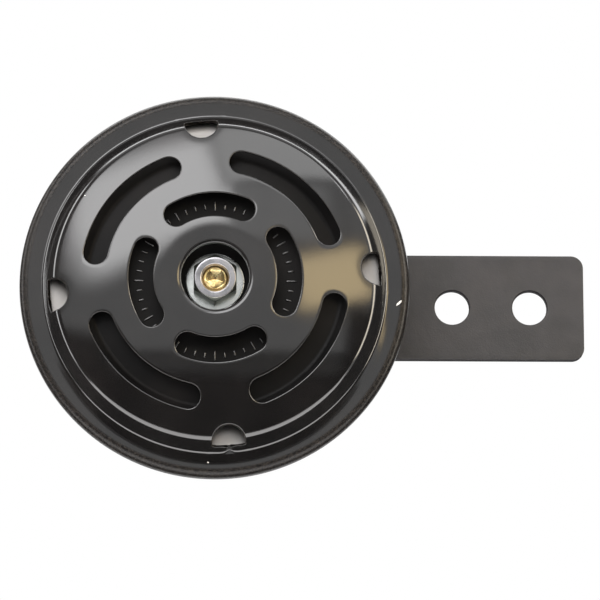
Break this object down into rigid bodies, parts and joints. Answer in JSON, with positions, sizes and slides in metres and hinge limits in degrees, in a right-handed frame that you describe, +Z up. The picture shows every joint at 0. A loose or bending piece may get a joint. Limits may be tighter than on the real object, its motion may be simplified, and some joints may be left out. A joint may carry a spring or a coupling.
{
  "type": "disc horn",
  "caption": "Electromagnetic disc horn for a vehicle: slotted black grille over a tone disc, rear housing and a flat bolt-on bracket.",
  "frame": {"origin": "middle of the bracket's two mounting holes, on the bracket's rear face", "axes": "the horn faces -Y, +Y is the bracket's rear face and the direction of the mounting bolts, +Z is up, and +X runs along the bracket away from the horn"},
  "size_m": [0.1369, 0.0475, 0.093],
  "materials": {
    "grille_paint": "gloss black paint, slightly orange-peeled",
    "housing_paint": "gloss black paint",
    "tone_disc_paint": "satin black paint",
    "bracket_paint": "matt dark grey paint",
    "gasket_fibre": "grey fibre gasket",
    "diaphragm_steel": "bright tinned spring steel",
    "yellow_zinc": "yellow passivated zinc",
    "bright_zinc": "bright zinc plate",
    "stud_zinc": "zinc plated steel",
    "red_fibre": "vulcanised fibre",
    "bobbin_nylon": "natural nylon",
    "copper_enamel": "enamelled copper wire",
    "plate_steel": "plated steel",
    "rivet_steel": "plated rivets",
    "laminate": "brown paper laminate",
    "spring_bronze": "phosphor bronze",
    "brass_arm": "brass strip",
    "contact_silver": "silver alloy",
    "terminal_brass": "tinned brass",
    "rivet_brass": "brass"
  },
  "bodies": {
    "horn_body": {"front_grille": "grille_paint", "front_gasket": "gasket_fibre", "diaphragm": "diaphragm_steel", "rear_gasket": "gasket_fibre", "rear_housing": "housing_paint", "pole_core": "stud_zinc", "coil_bobbin": "bobbin_nylon", "coil_winding": "copper_enamel", "pole_plate": "plate_steel", "pole_plate_rivets": "rivet_steel", "lower_breaker_block": "laminate", "moving_contact_leaf": "spring_bronze", "middle_breaker_block": "laminate", "fixed_contact_arm": "brass_arm", "breaker_cap_strip": "laminate", "moving_contact": "contact_silver", "fixed_contact": "contact_silver", "breaker_sleeves": "laminate", "breaker_rivets": "rivet_steel", "adjusting_screw": "stud_zinc", "adjusting_bush": "stud_zinc", "adjusting_locknut": "bright_zinc", "outer_terminal_insulator": "laminate", "inner_terminal_insulator": "laminate", "left_terminal": "terminal_brass", "right_terminal": "terminal_brass", "terminal_rivets": "rivet_brass", "mounting_bracket": "bracket_paint", "spring_washer": "bright_zinc", "bracket_nut": "bright_zinc"},
    "moving_system": {"armature": "yellow_zinc", "pusher_collar": "red_fibre", "hub_spacer": "bright_zinc", "tone_disc": "tone_disc_paint", "tone_disc_washer": "bright_zinc", "tone_disc_nut": "bright_zinc"}
  },
  "joints": [
    {"name": "armature_travel", "type": "slide", "parent": "horn_body", "child": "moving_system", "axis": [0, 1, 0], "range_m": [-0.0004, 0.0008], "stiffness_N_per_m": 20000, "deforming": ["diaphragm", "moving_contact_leaf", "moving_contact"]}
  ]
}
